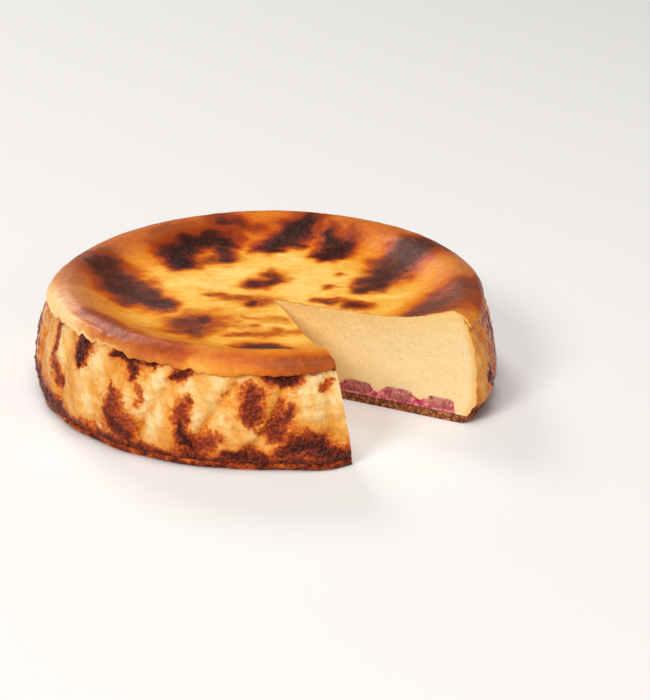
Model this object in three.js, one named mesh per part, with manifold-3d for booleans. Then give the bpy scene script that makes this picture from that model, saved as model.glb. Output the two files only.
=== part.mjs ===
// A baked cheesecake with a burnt top, with one wedge cut out of it.
// Millimetres, +Z up. The cake stands on z = 0 and the origin is under the middle of its box.
// Azimuths are degrees from +X, counterclockwise seen from above, so -90 faces the viewer.
import * as THREE from 'three';
import { mergeVertices } from 'three/addons/utils/BufferGeometryUtils.js';
import Module from 'manifold-3d';

const wasm = await Module();
wasm.setup();

// The whole cake
const CAKE_RADIUS = 110; // at the side's widest, low down
const FOOT_RADIUS = 108; // where the side meets the biscuit base
const CREST_HEIGHT = 51.2; // top of the raised rim
const CREST_RADIUS = 92;
const MIDDLE_HEIGHT = 41.2; // sunken middle of the top
const PLAIN_HEIGHT = 42.8; // level part of the top, between the middle and the rim

// The layers, from the bottom
const BASE_THICKNESS = 3.5;
const GAP = 0.3; // between one layer and the next
const FRUIT_RADIUS = 104;
const FRUIT_THICKNESS = 5.2;

// The baked skin that covers the top and hangs over the side
const SKIN_EDGE_HEIGHT = 44.6;
const SKIN_EDGE_RADIUS = 102.2; // of the side just under the skin
const SKIN_LIP = 1.3; // how far the skin stands proud of the side

// Folds that the paper lining pressed into the side
const FOLD_COUNT = 13;
const FOLD_DEPTH = 3.2;
const FOLD_SLANT = 0.4; // most degrees of turn for each millimetre of height

// The missing wedge: its tip and the azimuths of its two cuts
const WEDGE_TIP = [3.5, -9.5];
const FRONT_CUT = -71.2;
const RIGHT_CUT = -27;
const CUT_SPREAD = 5; // the soft filling settles into the gap this far at the bottom of a cut
const CUT_REACH = 190;

// Poached pear in the fruit layer, along each cut
const PIECES_PER_CUT = 4;
const PIECE_START = 17.5; // from the wedge's tip to the first piece
const PIECE_PITCH = 21;
const PIECE_LENGTH = 17;
const PIECE_HEIGHT = 6.2;
const PIECE_DEPTH = 10; // into the cake from the line of the cut
const PIECE_RISE = 1.7; // how far a piece stands above the compote's top

// Uneven stretches round the cake: azimuth and half width in degrees, and size in millimetres
const EDGE_SWEEPS = [
  { at: -90, width: 27, size: -2.3 },
  { at: -143, width: 24, size: 1.9 },
  { at: -18, width: 20, size: 1.3 },
];
const RIM_SWEEPS = [
  { at: -88, width: 26, size: -1.9 },
  { at: -71, width: 10, size: -1.9 },
  { at: -24, width: 16, size: 0.5 },
  { at: 42, width: 24, size: -1.8 },
  { at: 140, width: 26, size: -1.6 },
];
const WIDE_RIM = [{ at: -24, width: 16, size: 4.5 }];
const SIDE_BULGE = [{ at: -27, width: 13, size: 6 }]; // by the right cut
const SHOULDER_SWEEPS = [
  { at: 24, width: 18, size: -1.6 },
  { at: 156, width: 22, size: -2.6 },
];
const FOOT_SPREAD = [{ at: -75, width: 9, size: 3.8 }]; // by the front cut

// Fineness of the round surfaces
const CAKE_STEPS = 144;
const LAYER_STEPS = 72;
const FRUIT_STEPS = 54;

const LAYER_BOTTOM = BASE_THICKNESS + GAP;
const FRUIT_TOP = LAYER_BOTTOM + FRUIT_THICKNESS;
const radians = THREE.MathUtils.degToRad;
const { smoothstep } = THREE.MathUtils;

// The sum of some uneven stretches at one azimuth, each a smooth bump.
function sweep(stretches, azimuth) {
  return stretches.reduce((sum, { at, width, size }) => {
    const away = THREE.MathUtils.euclideanModulo(azimuth - at + 180, 360) - 180;
    return sum + size * Math.exp(-((away / width) ** 2));
  }, 0);
}

// Slow waves round the cake, between -1 and 1, that never repeat within a turn.
function wave(azimuth, turns, start) {
  return Math.sin(radians(turns * azimuth + start + 40 * Math.sin(radians(2 * azimuth + start))));
}

// Round surfaces start as a lathed profile, and each point is then moved by a rule.
function lathed(profile, steps, move) {
  const geometry = new THREE.LatheGeometry(profile, steps).rotateX(Math.PI / 2);
  const points = geometry.getAttribute('position');
  for (let i = 0; i < points.count; i++) {
    const step = Math.floor(i / profile.length) % steps;
    const azimuth = (step * 360) / steps - 90;
    const from = profile[i % profile.length];
    const [radius, height] = from.x < 1e-6 ? [0, from.y] : move(from.x, from.y, azimuth);
    points.setXYZ(i, radius * Math.cos(radians(azimuth)), radius * Math.sin(radians(azimuth)), height);
  }
  return geometry;
}

// Sharp creases between rounded panels, uneven in place and depth, leaning one way or the other.
function foldDepth(azimuth, height) {
  const turned = azimuth + FOLD_SLANT * (height - 25) * wave(azimuth, 2, 150);
  const panel = Math.abs(wave(turned, FOLD_COUNT, 85));
  const strength = 0.55 + 0.45 * wave(turned, 3, 70);
  return FOLD_DEPTH * strength * (1 - panel) ** 2.5;
}

// How far the skin's ragged lower edge lies above its mean height: lowest at the front, highest at the left.
function edgeRise(azimuth) {
  return sweep(EDGE_SWEEPS, azimuth) + 0.5 * wave(azimuth, 19, 0) + 0.35 * wave(azimuth, 31, 110);
}

// How far the side stands out of its plain round form.
function swelling(height, azimuth) {
  const bulge = sweep(SIDE_BULGE, azimuth) * smoothstep(height, -8, 14);
  const shoulder = sweep(SHOULDER_SWEEPS, azimuth) * smoothstep(height, 26, 46);
  const foot = sweep(FOOT_SPREAD, azimuth) * (1 - smoothstep(height, 4, 16));
  return bulge + shoulder + foot;
}

// A point of the side, moved from its plain round place to its uneven one.
function settleSide(radius, height, azimuth) {
  const folded = smoothstep(height, LAYER_BOTTOM, 12) * (1 - 0.6 * smoothstep(height, 36, SKIN_EDGE_HEIGHT));
  const crags = 0.5 * wave(azimuth + 2 * height, 17, 15) * wave(azimuth - 3 * height, 11, 80);
  const nearEdge = smoothstep(height, 26, SKIN_EDGE_HEIGHT);
  return [
    radius + swelling(height, azimuth) + (crags - foldDepth(azimuth, height)) * folded,
    height + nearEdge * edgeRise(azimuth),
  ];
}

// The same for a point of the skin over the top.
function settleSkin(radius, height, azimuth) {
  const onRim = smoothstep(radius, 60, CREST_RADIUS);
  const onLip = smoothstep(radius, CREST_RADIUS + 4, SKIN_EDGE_RADIUS);
  const dents = 0.45 * wave(azimuth, 4, 3 * radius) * smoothstep(radius, 4, 40);
  const rimRise = sweep(RIM_SWEEPS, azimuth) * onRim * (1 - onLip);
  return [
    radius + (swelling(height, azimuth) + sweep(WIDE_RIM, azimuth) * (1 - onLip)) * onRim,
    height + rimRise + dents * (1 - onRim) + onLip * edgeRise(azimuth),
  ];
}

function settleCake(radius, height, azimuth) {
  const onSide = radius > SKIN_EDGE_RADIUS - 0.1 && height < SKIN_EDGE_HEIGHT + 0.1;
  return onSide ? settleSide(radius, height, azimuth) : settleSkin(radius, height, azimuth);
}

function cakeForm() {
  const side = new THREE.SplineCurve([
    new THREE.Vector2(FOOT_RADIUS + 0.6, LAYER_BOTTOM),
    new THREE.Vector2(CAKE_RADIUS, 14),
    new THREE.Vector2(CAKE_RADIUS - 1.6, 26),
    new THREE.Vector2(CAKE_RADIUS - 4.8, 37),
    new THREE.Vector2(SKIN_EDGE_RADIUS, SKIN_EDGE_HEIGHT),
  ]);
  const top = new THREE.SplineCurve([
    new THREE.Vector2(SKIN_EDGE_RADIUS + SKIN_LIP, SKIN_EDGE_HEIGHT + 0.4),
    new THREE.Vector2(SKIN_EDGE_RADIUS - 0.8, SKIN_EDGE_HEIGHT + 3.4),
    new THREE.Vector2(CREST_RADIUS + 4, CREST_HEIGHT - 0.5),
    new THREE.Vector2(CREST_RADIUS - 3, CREST_HEIGHT - 0.3),
    new THREE.Vector2(CREST_RADIUS - 10, CREST_HEIGHT - 3.6),
    new THREE.Vector2(CREST_RADIUS - 19, PLAIN_HEIGHT + 1.6),
    new THREE.Vector2(CREST_RADIUS - 32, PLAIN_HEIGHT),
    new THREE.Vector2(CREST_RADIUS - 58, PLAIN_HEIGHT - 0.2),
    new THREE.Vector2(0, MIDDLE_HEIGHT),
  ]);
  return [new THREE.Vector2(0, LAYER_BOTTOM), ...side.getPoints(12), ...top.getPoints(20)];
}

// The fruit layer's form, or the room it takes when a clearance is given.
function fruitForm(clearance) {
  const top = FRUIT_TOP + clearance;
  const radius = FRUIT_RADIUS + clearance;
  const bottom = LAYER_BOTTOM - 3 * clearance;
  return [
    new THREE.Vector2(0, bottom),
    new THREE.Vector2(radius - 1, bottom),
    new THREE.Vector2(radius, top - 2),
    ...[2, 14, 28, 44, 62, 80].map((inwards) => new THREE.Vector2(radius - inwards, top)),
    new THREE.Vector2(0, top),
  ];
}

function settleFruit(radius, height, azimuth) {
  const top = smoothstep(height, FRUIT_TOP - 2.1, FRUIT_TOP - 0.1);
  const lumps = 0.7 * wave(azimuth, 9, 4 * radius);
  return [radius + 1.2 * wave(azimuth, 7, 30) * smoothstep(radius, 85, 100), height + lumps * top];
}

function baseForm() {
  return [
    new THREE.Vector2(0, 0),
    new THREE.Vector2(FOOT_RADIUS - 1.4, 0),
    new THREE.Vector2(FOOT_RADIUS + 0.2, 1.3),
    new THREE.Vector2(FOOT_RADIUS + 0.6, 3),
    new THREE.Vector2(FOOT_RADIUS - 0.2, BASE_THICKNESS),
    new THREE.Vector2(0, BASE_THICKNESS),
  ];
}

function settleBase(radius, height, azimuth) {
  const crumbs = 0.35 * wave(azimuth, 23, 60) + 0.25 * wave(azimuth + 30 * height, 14, 10);
  return [radius + swelling(height, azimuth) + crumbs, height];
}

// A closed solid from any closed three.js shape; the collapsed triangles at a pole are dropped.
function solidOf(geometry) {
  const bare = new THREE.BufferGeometry();
  bare.setAttribute('position', geometry.getAttribute('position'));
  bare.setIndex(geometry.index);
  const merged = mergeVertices(bare, 1e-4);
  const triangles = [];
  for (let i = 0; i < merged.index.count; i += 3) {
    const corners = [0, 1, 2].map((k) => merged.index.getX(i + k));
    if (new Set(corners).size === 3) triangles.push(...corners);
  }
  return new wasm.Manifold(
    new wasm.Mesh({
      numProp: 3,
      vertProperties: merged.getAttribute('position').array,
      triVerts: new Uint32Array(triangles),
    }),
  );
}

// The room of the missing wedge. It narrows downwards, as both cuts lean into it.
function wedgeRoom() {
  const ends = [FRONT_CUT, RIGHT_CUT].map(
    (azimuth) =>
      new THREE.Vector2(
        WEDGE_TIP[0] + CUT_REACH * Math.cos(radians(azimuth)),
        WEDGE_TIP[1] + CUT_REACH * Math.sin(radians(azimuth)),
      ),
  );
  const outline = new THREE.Shape([new THREE.Vector2(...WEDGE_TIP), ...ends]);
  const below = 5;
  const depth = CREST_HEIGHT + 3 * below;
  const geometry = new THREE.ExtrudeGeometry(outline, { depth, bevelEnabled: false });
  geometry.translate(0, 0, -below);
  const middle = radians((FRONT_CUT + RIGHT_CUT) / 2);
  const tipShift = CUT_SPREAD / Math.sin(radians((RIGHT_CUT - FRONT_CUT) / 2));
  const points = geometry.getAttribute('position');
  for (let i = 0; i < points.count; i++) {
    const shift = tipShift * (1 - points.getZ(i) / PLAIN_HEIGHT);
    points.setX(i, points.getX(i) + shift * Math.cos(middle));
    points.setY(i, points.getY(i) + shift * Math.sin(middle));
  }
  return solidOf(geometry);
}

// A diced piece of pear with rounded, uneven corners, lying along a cut and across its line.
function pearForm(cut, place, clearance) {
  const length = PIECE_LENGTH * (0.94 + 0.08 * Math.sin(2.3 * place + cut)) + 2 * clearance;
  const height = PIECE_HEIGHT + 2 * clearance;
  const corners = 12;
  const outline = new THREE.Shape();
  for (let k = 0; k < corners; k++) {
    const turn = (2 * Math.PI * k) / corners;
    const squareness = 1 / Math.max(Math.abs(Math.cos(turn)), Math.abs(Math.sin(turn))) ** 0.75;
    const uneven = 1 - 0.06 * Math.abs(Math.sin(5 * turn + place));
    const x = 0.5 * length * squareness * uneven * Math.cos(turn);
    const y = 0.5 * height * squareness * uneven * Math.sin(turn);
    if (k === 0) outline.moveTo(x, y);
    else outline.lineTo(x, y);
  }
  const into = PIECE_DEPTH + clearance;
  const geometry = new THREE.ExtrudeGeometry(outline, { depth: 2 * into, bevelEnabled: false });
  geometry.translate(PIECE_START + PIECE_LENGTH / 2 + PIECE_PITCH * place, 0, -into);
  geometry.rotateX(Math.PI / 2);
  geometry.rotateZ(radians(cut));
  return geometry.translate(...WEDGE_TIP, FRUIT_TOP + PIECE_RISE - PIECE_HEIGHT / 2);
}

function meshOf(name, solid, finish) {
  const { vertProperties, triVerts } = solid.getMesh();
  const geometry = new THREE.BufferGeometry();
  geometry.setAttribute('position', new THREE.BufferAttribute(vertProperties, 3));
  geometry.setIndex(new THREE.BufferAttribute(triVerts, 1));
  geometry.computeVertexNormals();
  const mesh = new THREE.Mesh(geometry, new THREE.MeshStandardMaterial({ metalness: 0, ...finish }));
  mesh.name = name;
  return mesh;
}

const wedge = wedgeRoom();
const places = [FRONT_CUT, RIGHT_CUT].flatMap((cut) =>
  Array.from({ length: PIECES_PER_CUT }, (_, place) => ({ cut, place })),
);
const pearRoom = places
  .map(({ cut, place }) => solidOf(pearForm(cut, place, GAP)))
  .reduce((all, piece) => all.add(piece));

const cake = solidOf(lathed(cakeForm(), CAKE_STEPS, settleCake))
  .subtract(solidOf(lathed(fruitForm(GAP), FRUIT_STEPS, settleFruit)))
  .subtract(pearRoom)
  .subtract(wedge);
const fruit = solidOf(lathed(fruitForm(0), FRUIT_STEPS, settleFruit)).subtract(pearRoom).subtract(wedge);
const base = solidOf(lathed(baseForm(), LAYER_STEPS, settleBase)).subtract(wedge);

const cheesecake = new THREE.Group();
cheesecake.add(
  meshOf('cheesecake', cake, { color: 0xe9b564, roughness: 0.5 }),
  meshOf('fruit_layer', fruit, { color: 0xa8395a, roughness: 0.35 }),
  meshOf('biscuit_base', base, { color: 0x8a4f22, roughness: 0.85 }),
);
places.forEach(({ cut, place }, i) => {
  const piece = solidOf(pearForm(cut, place, 0)).subtract(wedge);
  cheesecake.add(meshOf(`pear_piece_${i + 1}`, piece, { color: 0x7a2b33, roughness: 0.4 }));
});

const box = new THREE.Box3().setFromObject(cheesecake);
const middle = box.getCenter(new THREE.Vector3());
cheesecake.position.set(-middle.x, -middle.y, -box.min.z);

export default cheesecake;
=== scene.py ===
"""A baked cheesecake with a burnt top and one wedge cut out, in metres with +Z up.

The cake's own sizes are in millimetres, and MM turns them into metres as a piece is finished.
Azimuths are degrees from +X, counterclockwise seen from above, so -90 faces the camera.
"""

import math
import random

import bmesh
import bpy
import numpy as np
from mathutils import Matrix, Vector, noise


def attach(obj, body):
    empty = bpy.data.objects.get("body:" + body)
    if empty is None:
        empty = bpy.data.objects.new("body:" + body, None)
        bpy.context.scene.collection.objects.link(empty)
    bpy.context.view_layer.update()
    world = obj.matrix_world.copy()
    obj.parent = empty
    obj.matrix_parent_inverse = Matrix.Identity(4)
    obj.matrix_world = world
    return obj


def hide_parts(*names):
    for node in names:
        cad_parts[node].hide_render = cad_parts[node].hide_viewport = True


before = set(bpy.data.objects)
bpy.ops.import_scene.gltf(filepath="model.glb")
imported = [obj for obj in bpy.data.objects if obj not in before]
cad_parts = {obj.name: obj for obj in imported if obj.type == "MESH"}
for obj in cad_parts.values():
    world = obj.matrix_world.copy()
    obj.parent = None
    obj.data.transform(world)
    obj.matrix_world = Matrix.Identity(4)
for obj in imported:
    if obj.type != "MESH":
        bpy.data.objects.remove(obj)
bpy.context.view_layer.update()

MM = 0.001

# The whole cake
FOOT_RADIUS = 108.0
CAKE_RADIUS = 110.0
CREST_RADIUS = 92.0
CREST_HEIGHT = 51.2
MIDDLE_HEIGHT = 41.2
PLAIN_HEIGHT = 42.8  # the level part of the top, between the middle and the rim

# The layers, from the bottom
BASE_TOP = 3.7
LAYER_BOTTOM = 3.8
FRUIT_RADIUS = 104.0
FRUIT_TOP = 9.0
FRUIT_DIP = 2.2  # how far the fruit sinks in the gaps between the pear pieces
FRUIT_GAP = 0.3  # between the fruit's wall and the cheese
CEILING_SINK = 0.8  # how far the ceiling over the fruit reaches down into it

# The burnt skin's edge, where it hangs over the side
SKIN_EDGE_HEIGHT = 44.6
SKIN_EDGE_RADIUS = 102.2
SKIN_LIP = 1.3
LIP_RADIUS = SKIN_EDGE_RADIUS + SKIN_LIP

# Folds that the paper lining pressed into the side
FOLD_COUNT = 13
FOLD_DEPTH = 3.2
FOLD_SLANT = 0.4  # the most degrees that a fold turns for each millimetre of height
FOLD_MIDDLE = 25.0  # the height that it turns about
STREAK_SLANT = 0.35  # how far the side's streaks run sideways for each millimetre that they fall

# The missing wedge, by its tip and the azimuths of its cuts
WEDGE_TIP = (3.5, -9.5)
FRONT_CUT = -71.2
RIGHT_CUT = -27.0
CUT_SPREAD = 5.0  # how much further out each cut stands at the bottom than at the top
CUT_MIDDLE = (FRONT_CUT + RIGHT_CUT) / 2
TIP_SHIFT = CUT_SPREAD / math.sin(math.radians((RIGHT_CUT - FRONT_CUT) / 2))
SWEEP = 360 - (RIGHT_CUT - FRONT_CUT)

# Poached pear along each cut
PIECES_PER_CUT = 4
PIECE_START = 17.5
PIECE_PITCH = 21.0
PIECE_LENGTH = 17.0
PIECE_HEIGHT = 6.2
PIECE_DEPTH = 10.0
PIECE_MIDDLE = 7.6

# Uneven stretches round the cake: azimuth, half width in degrees, and how many millimetres the form
# differs by. The skin's edge and the rim rise, a wide rim reaches further in, the whole side, its
# upper part and its foot bulge, and at a gap the skin stands off the side.
EDGE_RISES = ((-90, 27, -2.3), (-143, 24, 1.9), (-18, 20, 1.3))
RIM_RISES = ((-88, 26, -1.9), (-71, 10, -1.9), (-24, 16, 0.5), (42, 24, -1.8), (140, 26, -1.6))
WIDE_RIM = ((-24, 16, 4.5),)
SIDE_BULGES = ((-27, 13, 6.0),)
SHOULDER_BULGES = ((24, 18, -1.6), (156, 22, -2.6))
FOOT_BULGES = ((-75, 9, 3.8),)
LIP_GAPS = ((-122, 8, 2.0), (-146, 5, 0.5), (-108, 5, 0.5), (-20, 6, 0.5))

# The same kind of stretches, with shares in place of millimetres: how much warmer the side's streaks
# are, how crusty the side is at any height, and how much more ragged the skin's edge is
WARM_STRETCHES = ((-12, 16, 0.7), (-158, 14, 0.25))
CRUSTY_STRETCHES = ((-15, 12, 0.46), (-166, 8, 0.25))
TORN_STRETCHES = ((-140, 20, 1.6), (-107, 6, 1.0))
PALE_LIP_MIDDLE = -147  # the azimuth where the skin's edge is palest

# Fineness of the pieces
CHEESE_COLUMNS, CHEESE_ROWS, CHEESE_STEPS = 70, 80, 560
FRUIT_COLUMNS, FRUIT_ROWS, FRUIT_STEPS = 110, 10, 160
BASE_COLUMNS, BASE_ROWS, BASE_STEPS = 110, 7, 480
LIP_ROWS = 4
LIP_START = 1 - LIP_ROWS / CHEESE_ROWS
DOUBLINGS = 4  # how often the first stretch of a round is doubled to make it whole
OUTWARD_CROWDING = 1.35  # columns stand closer together towards the wall
HOLLOW_SHARE = 0.965  # how far out the room for the fruit reaches
HOLLOW_STEP = 0.008  # how far apart the two columns of that room's wall stand, as a share
HAIR = 1e-4  # a share far smaller than one row or column
SAME_TURN = 0.01  # degrees within which a direction counts as a cut's own

# Burnt patches of the skin: strength, share of painted sheen, a lighter and greyer brown where light
# glances off the patch, and the stroke that each is drawn with, as places in the plan and half widths
SKIN_PATCHES = (
    (1.0, 0.6, ((-80, 22, 9), (-68, 2, 12), (-58, -12, 10), (-46, -20, 6))),
    (0.45, 0.8, ((-78, -52, 4), (-69, -63, 6), (-57, -75, 4.5))),
    (0.26, 0.6, ((-57, -76, 4), (-44, -85, 4.5), (-32, -91, 4))),
    (1.0, 0.0, ((-41, 32, 7), (-46, 48, 9), (-41, 62, 8), (-31, 68, 8), (-22, 66, 7))),
    (0.8, 0.1, ((-24, 56, 5), (-20, 43, 6))),
    (0.5, 0.0, ((-36, 36, 6), (-28, 42, 6))),
    (0.75, 0.1, ((-25, 84, 5), (-15, 82, 5))),
    (0.45, 0.0, ((-6, 80, 3.5),)),
    (1.0, 0.0, ((18, 84, 6), (13, 77, 8), (8, 68, 9), (0, 59, 7))),
    (0.8, 0.0, ((6, 64, 6), (16, 61, 5))),
    (0.95, 0.0, ((29, 72, 5), (36, 60, 8), (33, 50, 8), (26, 46, 5))),
    (1.0, 0.6, ((78, 49, 9), (72, 42, 12), (64, 33, 11), (58, 20, 9), (52, 6, 8), (46, 2, 5))),
    (0.72, 0.9, ((94, -14, 8), (86, -27, 11), (76, -38, 9), (64, -45, 5))),
    (0.46, 0.8, ((97, -24, 7), (96, -34, 6))),
    (0.5, 0.0, ((25, -15, 3), (32, -16, 4.5))),
    (0.6, 0.0, ((38, -18, 4), (46, -23, 6))),
    (0.35, 0.0, ((36, 21, 2.5),)),
    (0.4, 0.0, ((32, 2, 3),)),
    (0.7, 0.1, ((5, 18, 6), (-5, 9, 6))),
    (0.42, 0.1, ((-26, -6, 3), (-12, -10, 5.5), (-2, -15, 7))),
    (0.7, 0.1, ((-5, -14, 4),)),
    (0.62, 0.3, ((-33, -54, 9), (-30, -42, 13))),
    (0.85, 0.1, ((-27, -37, 6),)),
    (0.27, 0.0, ((-10, -37, 3), (10, -41, 4))),
    (0.3, 0.0, ((-16, -47, 3), (-2, -48, 3))),
    (0.34, 0.0, ((-16, -59, 3), (3, -55, 5), (14, -53, 4))),
    (0.95, 0.6, ((-9, -77, 3), (0, -76, 6.5), (9, -78, 4))),
)

# Crusty patches of the side: strength, and the stroke that each is drawn with, as azimuths, heights
# and half widths
SIDE_PATCHES = (
    (0.6, ((-174, 37, 2), (-168, 32, 2), (-165, 24, 2))),
    (0.85, ((-168, 14, 6), (-155, 8, 6), (-145, 5, 5))),
    (0.65, ((-152, 45, 2.5), (-151, 38, 2), (-151, 27, 2.5), (-147, 20, 3))),
    (1.0, ((-139, 43, 5), (-139, 38, 3.5), (-139, 33, 1.2))),
    (0.95, ((-129, 44, 1.4), (-122, 45, 2.0), (-116, 45, 1.5))),
    (0.95, ((-122, 43, 2.4), (-121, 39, 2.8), (-121, 34, 1.2))),
    (0.45, ((-119.5, 30, 2), (-119, 26, 1.5))),
    (0.62, ((-127, 32, 1.6), (-126, 26, 3.8), (-126, 20, 6.5), (-124, 12, 9))),
    (0.86, ((-128, 19, 2), (-126, 13, 3), (-122, 9, 4))),
    (0.9, ((-108, 43, 3), (-111, 39, 2))),
    (0.65, ((-107, 31, 1.5), (-108, 24, 2.6), (-108, 17, 3.6), (-106, 11, 6), (-101, 13, 3.5))),
    (0.95, ((-108.5, 19, 1.5), (-107, 12, 3), (-105, 9, 2.5))),
    (0.5, ((-102, 17, 3), (-99, 17, 3))),
    (0.45, ((-98, 34, 1.2),)),
    (0.76, ((-92, 37, 3), (-91, 31, 5.5), (-91, 25, 4))),
    (0.5, ((-91, 25, 3), (-89, 17, 2))),
    (0.9, ((-97, 8, 2.5), (-92, 6, 4), (-88, 3, 4))),
    (0.95, ((-88, 43, 3), (-82, 42, 3.5), (-84, 39, 2.2))),
    (0.76, ((-83.5, 28, 2.5), (-85.5, 22, 4), (-87, 17, 3.5))),
    (0.95, ((-83, 12, 5), (-79, 13, 5.5), (-75, 9, 4.5), (-71, 5, 4))),
    (0.5, ((-73, 36, 1.8), (-75, 35.5, 1.2))),
    (0.8, ((-76, 43.5, 0.8), (-71, 43, 0.8))),
    (0.8, ((-19, 42, 2), (-18, 37, 2))),
    (0.9, ((-13, 33, 2), (-17, 27, 2.5), (-16, 21, 2.5))),
    (0.9, ((-25, 24, 2), (-25, 18, 2.5))),
    (0.95, ((-23, 15, 2.5), (-20, 9, 4))),
    (0.8, ((-8, 36, 2), (-7, 26, 2.5), (-11, 17, 3))),
)
BOTTOM_CRUST = 0.9
BOTTOM_BAND = (3, 12)  # the heights between which the crust of the foot fades away

# The same kind of patches round the part of the side that the picture hides
UNSEEN_PATCHES = 30
UNSEEN_SEED = 7
UNSEEN_START = -4
UNSEEN_SPAN = 198
UNSEEN_TOPS = (18, 26, 36, 45)  # the heights that their strokes start from

# Soft tones of the skin near the rim: azimuth, half width in degrees, radius, half width, strength
TAN_TONES = (
    # The first tone darkens the front of the rim towards brown, partly the rim's own browning and partly
    # painted shade.
    (-78, 30, 100, 6, 0.58),
    (-116, 11, 98, 6, 0.25),
    (-99, 14, 102, 4, -0.4),
    (-160, 20, 102, 5, -0.6),
    (150, 36, 90, 14, 0.26),
    (85, 55, 86, 24, 0.28),
    (-14, 24, 98, 9, 0.15),
    (-4, 10, 104, 5, 0.3),
)
# Rosy tones, partly the skin's own pinkish tan and partly painted sheen on the shoulders of the rim.
ROSY_AND_SHEEN_TONES = (
    (-145, 34, 97, 11, 0.9),
    (170, 36, 90, 14, 0.7),
    (10, 40, 97, 9, 0.6),
    (-24, 16, 96, 12, 0.5),
)

# The camera of the photograph
CAMERA_PLACE = (0.028544, -0.825394, 0.354861)
CAMERA_PITCH = 0.394279  # radians below level
CAMERA_LENS = 95.14
CAMERA_FRAME = 36  # the frame's width in millimetres, which the lens goes with


def paint(red, green, blue):
    """A colour for a shader, from the usual 0 to 255 values."""
    values = np.array([red, green, blue]) / 255
    linear = np.where(values <= 0.04045, values / 12.92, ((values + 0.055) / 1.055) ** 2.4)
    return (*(float(v) for v in linear), 1.0)


def smoothstep(x, low, high):
    """Goes smoothly from 0 to 1 as x goes from low to high."""
    share = np.clip((x - low) / (high - low), 0, 1)
    return share * share * (3 - 2 * share)


def away(azimuth, centre):
    """Degrees from centre to azimuth, between -180 and 180."""
    return (azimuth - centre + 180) % 360 - 180


def sweep(stretches, azimuth):
    """What a table of uneven stretches adds up to at each azimuth, each a smooth bump."""
    return sum(size * np.exp(-((away(azimuth, at) / width) ** 2)) for at, width, size in stretches)


def wave(azimuth, turns, start):
    """Uneven waves round the cake, as many as turns says, between -1 and 1."""
    return np.sin(np.radians(turns * azimuth + start + 40 * np.sin(np.radians(2 * azimuth + start))))


def smooth_line(points, parts=24):
    """Radii and heights along a smooth curve through the points."""
    points = np.array(points, float)
    ends = np.vstack([points[:1], points, points[-1:]])
    share = np.linspace(0, 1, parts, endpoint=False)[:, None]
    line = []
    for before, start, end, after in zip(ends, ends[1:], ends[2:], ends[3:]):
        leave, arrive = (end - before) / 2, (after - start) / 2
        line.append(
            (2 * start - 2 * end + leave + arrive) * share**3
            + (3 * end - 3 * start - 2 * leave - arrive) * share**2
            + leave * share
            + start
        )
    line.append(points[-1:])
    return np.vstack(line).T


SIDE_LINE = smooth_line(
    (
        (FOOT_RADIUS + 0.6, LAYER_BOTTOM),
        (CAKE_RADIUS, 14),
        (CAKE_RADIUS - 1.6, 26),
        (CAKE_RADIUS - 4.8, 37),
        (SKIN_EDGE_RADIUS, SKIN_EDGE_HEIGHT),
    )
)
TOP_LINE = smooth_line(
    (
        (0, MIDDLE_HEIGHT),
        (CREST_RADIUS - 58, PLAIN_HEIGHT - 0.2),
        (CREST_RADIUS - 32, PLAIN_HEIGHT),
        (CREST_RADIUS - 19, PLAIN_HEIGHT + 1.8),
        (CREST_RADIUS - 10, CREST_HEIGHT - 3.4),
        (CREST_RADIUS - 3.5, CREST_HEIGHT - 0.8),
        (CREST_RADIUS + 1, CREST_HEIGHT),
        (CREST_RADIUS + 5, CREST_HEIGHT - 0.9),
        (SKIN_EDGE_RADIUS - 0.8, SKIN_EDGE_HEIGHT + 3.4),
        (LIP_RADIUS, SKIN_EDGE_HEIGHT + 0.4),
    )
)

# Under the skin's edge, one point for each of the lip's rows
LIP_LINE = np.array(
    (
        (SKIN_EDGE_RADIUS - 0.9, SKIN_EDGE_HEIGHT + 0.5),
        (SKIN_EDGE_RADIUS + 0.1, SKIN_EDGE_HEIGHT + 0.3),
        (LIP_RADIUS - 0.15, SKIN_EDGE_HEIGHT - 0.25),
        (LIP_RADIUS, SKIN_EDGE_HEIGHT + 0.4),
    )
).T
WALL_LINE = np.hstack([SIDE_LINE, LIP_LINE])
WALL_STATIONS = np.append(
    np.linspace(0, LIP_START, SIDE_LINE.shape[1]),
    LIP_START + np.arange(1, LIP_ROWS + 1) / CHEESE_ROWS,
)


def grain(points, size, seed, octaves=2):
    """Smooth noise of about -1 to 1 at each point, in lumps of about that size."""
    start = Vector((7.3 * seed, 3.1 * seed, 11.7 * seed))
    return np.array([noise.fractal(Vector(p) / size + start, 0.7, 2.0, octaves) for p in points])


def granules(points, size, seed):
    """Round lumps of about that size at each point: 1 on top of a lump, 0 between lumps."""
    start = Vector((5.7 * seed, 9.1 * seed, 2.3 * seed))
    nearest = (noise.voronoi(Vector(p) / size + start)[0][0] for p in points)
    return np.clip(1 - np.fromiter(nearest, float), 0, 1)


# Rules that turn the plain round form into the uneven one


def fold_depth(azimuth, height):
    """Sharp creases between rounded panels that lean one way or the other."""
    turned = azimuth + FOLD_SLANT * (height - FOLD_MIDDLE) * wave(azimuth, 2, 150)
    panel = np.abs(wave(turned, FOLD_COUNT, 85))
    strength = 0.55 + 0.45 * wave(turned, 3, 70)
    return FOLD_DEPTH * strength * (1 - panel) ** 2.5


def ragged(azimuth):
    """The skin edge's own short, uneven scallops."""
    return 0.35 * wave(azimuth, 67, 20) * wave(azimuth, 13, 70) + 0.2 * wave(azimuth, 118, 5)


def edge_waves(azimuth):
    """Waves of the skin's edge, faint round the back."""
    strength = 0.2 + 0.8 * smoothstep(-np.sin(np.radians(azimuth)), -0.1, 0.5)
    torn = 1 + sweep(TORN_STRETCHES, azimuth)
    broad = 0.5 * wave(azimuth, 19, 0) + 0.35 * wave(azimuth, 31, 110)
    return strength * (broad + torn * ragged(azimuth))


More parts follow.
